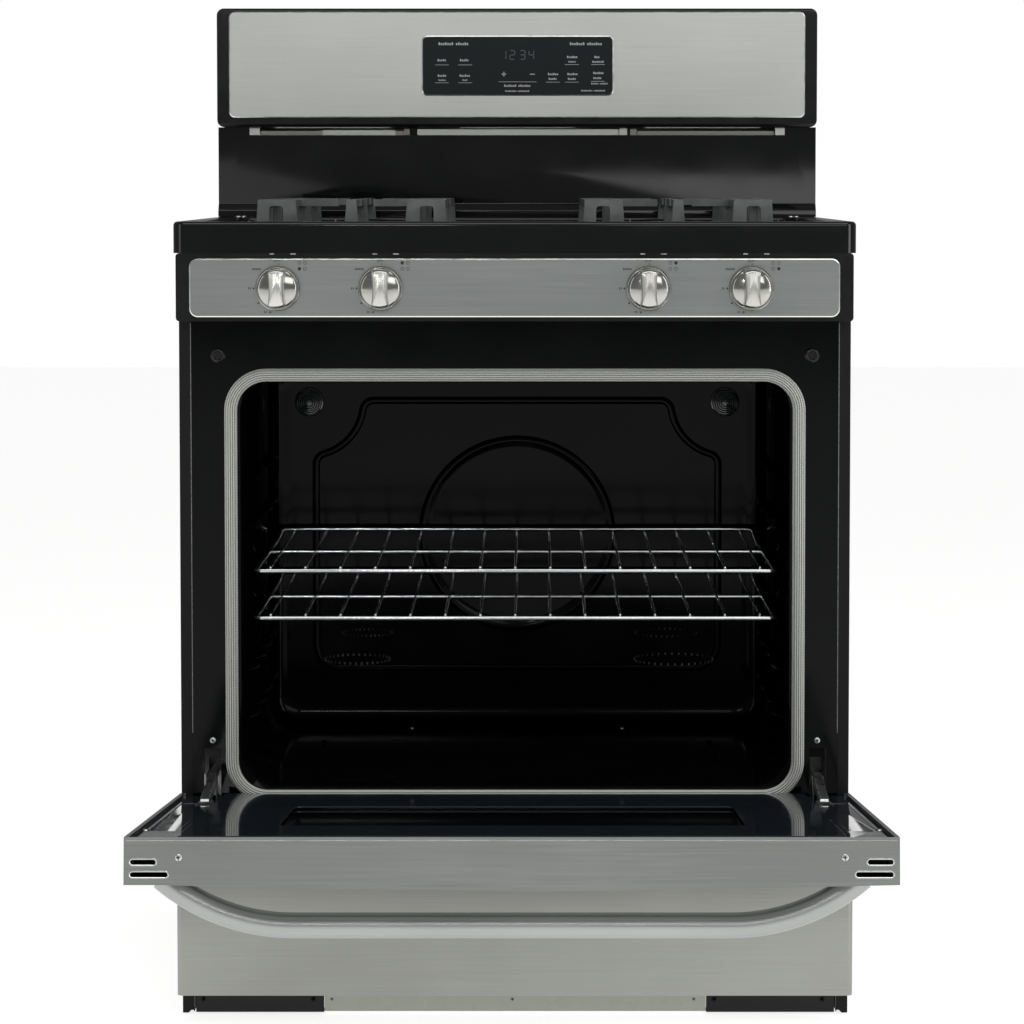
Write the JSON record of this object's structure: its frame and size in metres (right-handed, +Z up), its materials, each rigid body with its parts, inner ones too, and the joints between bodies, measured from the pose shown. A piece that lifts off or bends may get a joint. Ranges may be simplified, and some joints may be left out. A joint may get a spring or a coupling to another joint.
{
  "type": "freestanding gas range",
  "caption": "Freestanding gas range with an open drop-down oven door, wire racks, cast grates, front burner knobs, a rear console and a storage drawer.",
  "frame": {"origin": "on the floor, under the middle of the outline of the whole range with its door open", "axes": "+Z up, +Y towards the wall behind the range, +X towards the right side as the cook stands before it"},
  "size_m": [0.759, 1.1852, 1.162],
  "materials": {
    "stainless": "fine brushed stainless steel",
    "satin_tube": "satin stainless tube",
    "gloss_enamel": "gloss black porcelain enamel",
    "oven_enamel": "semi-gloss black porcelain enamel",
    "side_paint": "fine textured dark grey paint",
    "black_paint": "satin black paint",
    "galvanised": "galvanised steel",
    "zinc_plate": "bright zinc plating",
    "woven_gasket": "woven glass-fibre cord",
    "dark_glass": "gloss black glass",
    "display_glass": "gloss dark grey glass",
    "lamp_lens": "clear ribbed glass",
    "cast_iron": "matt enamelled cast iron",
    "burner_alloy": "cast aluminium",
    "burner_steel": "heat-darkened steel",
    "brass": "machined brass",
    "plated_pipe": "plated steel pipe",
    "chrome_wire": "chromed wire",
    "polished_nickel": "polished nickel plating",
    "mineral_wool": "yellow mineral wool",
    "circuit_board": "lacquered circuit board",
    "black_rubber": "moulded black rubber"
  },
  "bodies": {
    "range_body": {"side_panels": "side_paint", "rear_panel": "galvanised", "base_rails": "galvanised", "front_frame": "gloss_enamel", "oven_liner": "oven_enamel", "rack_guides": "oven_enamel", "oven_floor": "oven_enamel", "oven_gasket": "woven_gasket", "oven_lamps": "lamp_lens", "broil_burner": "burner_steel", "bake_burner": "burner_steel", "burner_box": "galvanised", "temperature_probe": "burner_steel", "insulation": "mineral_wool", "flue_duct": "galvanised", "cooktop": "gloss_enamel", "burner_heads": "burner_alloy", "burner_caps": "oven_enamel", "grates_left": "cast_iron", "grates_right": "cast_iron", "manifold_pipe": "plated_pipe", "gas_valves": "brass", "gas_regulator": "burner_alloy", "control_panel": "black_paint", "control_trim": "stainless", "console_shell": "black_paint", "console_trim": "stainless", "display_glass": "display_glass", "control_board": "circuit_board", "riser_panel": "gloss_enamel", "vent_grille": "burner_steel", "backguard_cover": "galvanised", "kick_brackets": "black_paint", "kick_rail": "galvanised", "levelling_legs": "plated_pipe", "cord_gland": "black_rubber", "hinge_receivers": "zinc_plate", "body_screws": "zinc_plate", "drawer_rails": "galvanised"},
    "door": {"door_skin": "stainless", "door_window": "dark_glass", "door_liner": "gloss_enamel", "door_inner_glass": "dark_glass", "door_handle": "satin_tube", "hinge_housings": "zinc_plate", "door_screws": "zinc_plate"},
    "link_left": {"hinge_link_left": "zinc_plate"},
    "link_right": {"hinge_link_right": "zinc_plate"},
    "upper_rack": {"rack_upper": "chrome_wire"},
    "lower_rack": {"rack_lower": "chrome_wire"},
    "drawer": {"drawer_front": "stainless", "drawer_box": "galvanised"},
    "stem_1": {"valve_stem_1": "zinc_plate"},
    "knob_body_1": {"knob_1": "polished_nickel"},
    "stem_2": {"valve_stem_2": "zinc_plate"},
    "knob_body_2": {"knob_2": "polished_nickel"},
    "stem_3": {"valve_stem_3": "zinc_plate"},
    "knob_body_3": {"knob_3": "polished_nickel"},
    "stem_4": {"valve_stem_4": "zinc_plate"},
    "knob_body_4": {"knob_4": "polished_nickel"}
  },
  "joints": [
    {"name": "door_hinge", "type": "hinge", "parent": "range_body", "child": "door", "pos_m": [0, -0.04965, 0.2457], "axis": [-1, 0, 0], "range_deg": [0, 84.5]},
    {"name": "hinge_link_left_turn", "type": "hinge", "parent": "range_body", "child": "link_left", "pos_m": [-0.342, -0.02545, 0.27], "axis": [-1, 0, 0], "range_deg": [0, 76.6]},
    {"name": "hinge_link_right_turn", "type": "hinge", "parent": "range_body", "child": "link_right", "pos_m": [0.342, -0.02545, 0.27], "axis": [-1, 0, 0], "range_deg": [0, 76.6]},
    {"name": "rack_upper_slide", "type": "slide", "parent": "range_body", "child": "upper_rack", "axis": [0, 1, 0], "range_m": [-0.3, 0]},
    {"name": "rack_lower_slide", "type": "slide", "parent": "range_body", "child": "lower_rack", "axis": [0, 1, 0], "range_m": [-0.3, 0]},
    {"name": "drawer_slide", "type": "slide", "parent": "range_body", "child": "drawer", "axis": [0, -1, 0], "range_m": [0, 0.38]},
    {"name": "knob_1_push", "type": "slide", "parent": "range_body", "child": "stem_1", "axis": [0, 1, 0], "range_m": [0, 0.003], "stiffness_N_per_m": 500},
    {"name": "knob_1_turn", "type": "hinge", "parent": "stem_1", "child": "knob_body_1", "pos_m": [-0.2625, -0.08945, 0.826], "axis": [0, -1, 0], "range_deg": [0, 205]},
    {"name": "knob_2_push", "type": "slide", "parent": "range_body", "child": "stem_2", "axis": [0, 1, 0], "range_m": [0, 0.003], "stiffness_N_per_m": 500},
    {"name": "knob_2_turn", "type": "hinge", "parent": "stem_2", "child": "knob_body_2", "pos_m": [-0.1485, -0.08945, 0.826], "axis": [0, -1, 0], "range_deg": [0, 205]},
    {"name": "knob_3_push", "type": "slide", "parent": "range_body", "child": "stem_3", "axis": [0, 1, 0], "range_m": [0, 0.003], "stiffness_N_per_m": 500},
    {"name": "knob_3_turn", "type": "hinge", "parent": "stem_3", "child": "knob_body_3", "pos_m": [0.1485, -0.08945, 0.826], "axis": [0, -1, 0], "range_deg": [0, 205]},
    {"name": "knob_4_push", "type": "slide", "parent": "range_body", "child": "stem_4", "axis": [0, 1, 0], "range_m": [0, 0.003], "stiffness_N_per_m": 500},
    {"name": "knob_4_turn", "type": "hinge", "parent": "stem_4", "child": "knob_body_4", "pos_m": [0.2625, -0.08945, 0.826], "axis": [0, -1, 0], "range_deg": [0, 205]}
  ],
  "couplings": [
    {"joint": "hinge_link_left_turn", "follows": "door_hinge", "ratio": 0.9053},
    {"joint": "hinge_link_right_turn", "follows": "door_hinge", "ratio": 0.9053}
  ]
}
